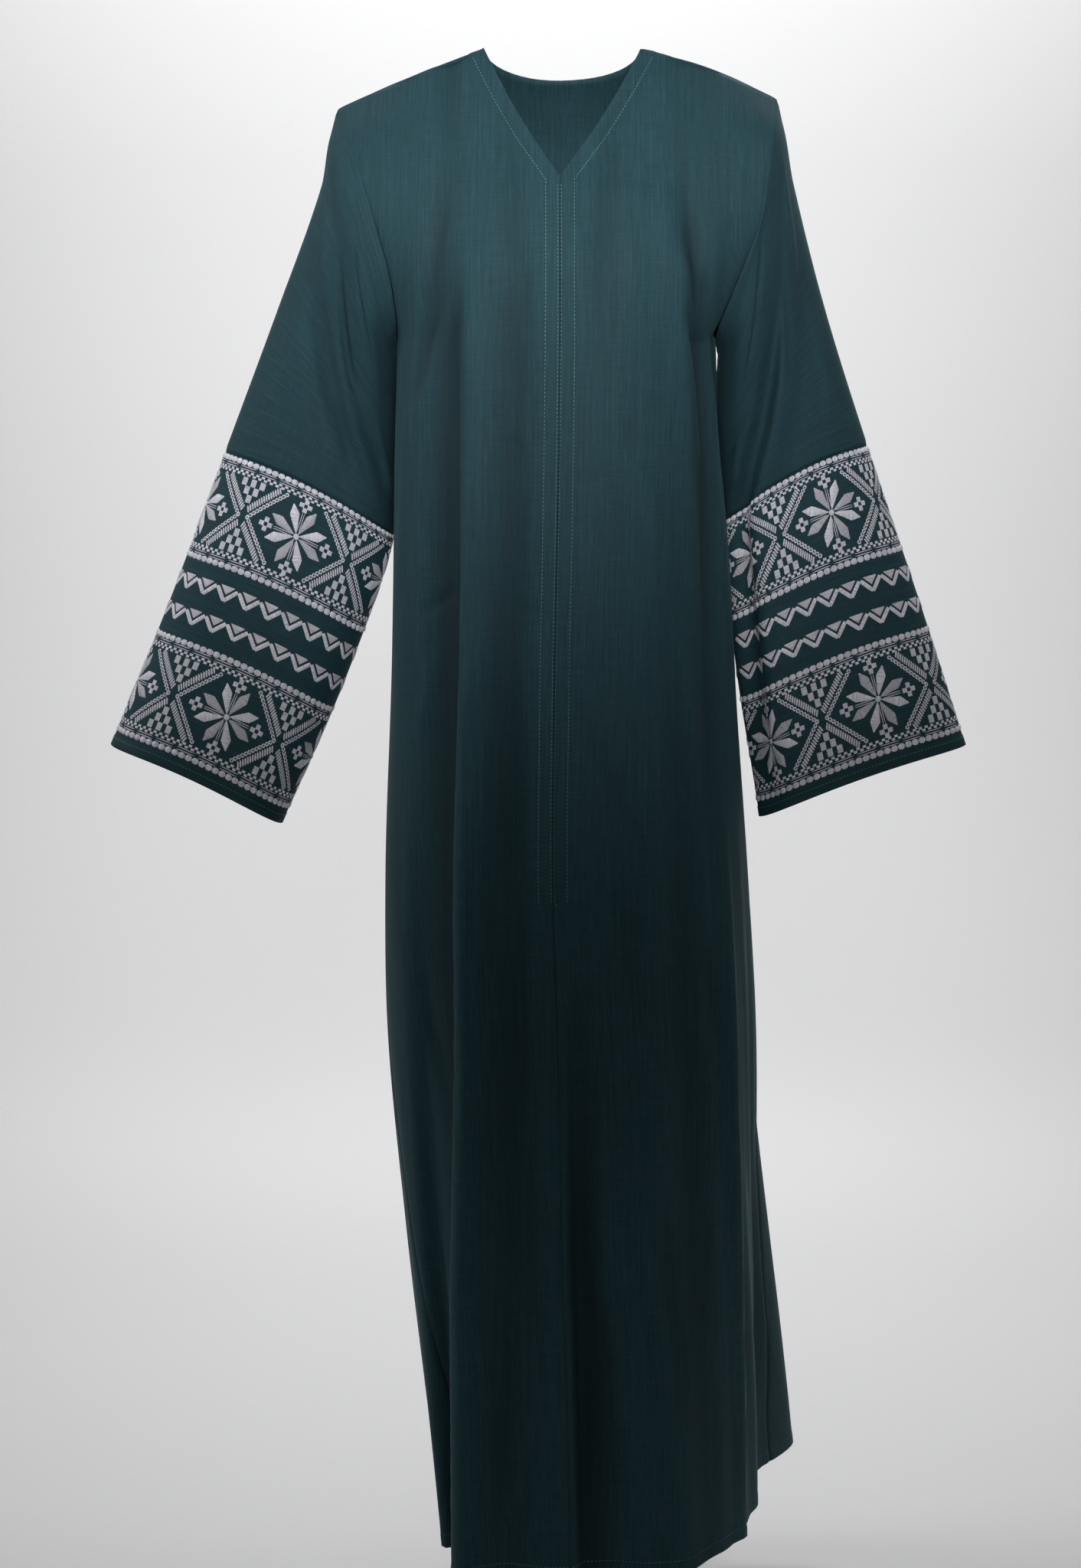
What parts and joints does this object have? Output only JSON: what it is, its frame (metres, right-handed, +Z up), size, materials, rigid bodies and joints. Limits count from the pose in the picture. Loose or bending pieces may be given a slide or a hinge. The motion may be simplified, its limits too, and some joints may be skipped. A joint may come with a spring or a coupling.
{
  "type": "abaya",
  "caption": "Long open-hem abaya held in its worn form, with a V neck, a stitched front placket and wide sleeves that end in deep embroidered panels.",
  "frame": {"origin": "middle of the shoulder line, where a wearer carries the garment", "axes": "+Z up, towards the neck; -Y is the front; -X is the wearer's right, which is the viewer's left from the front"},
  "size_m": [0.824, 0.3623, 1.4164],
  "materials": {
    "cloth": "dark teal slub weave, soft low sheen",
    "embroidered_cloth": "dark teal slub weave under white satin-stitch embroidery",
    "thread_white": "silver-white satin embroidery thread",
    "thread_navy": "dark navy embroidery thread",
    "sewing_thread": "teal-green sewing thread"
  },
  "bodies": {
    "root": {"front_right": "cloth", "front_left": "cloth", "back": "cloth", "sleeve_right": "cloth", "sleeve_left": "cloth", "sleeve_panel_right": "embroidered_cloth", "sleeve_panel_left": "embroidered_cloth"}
  },
  "joints": []
}
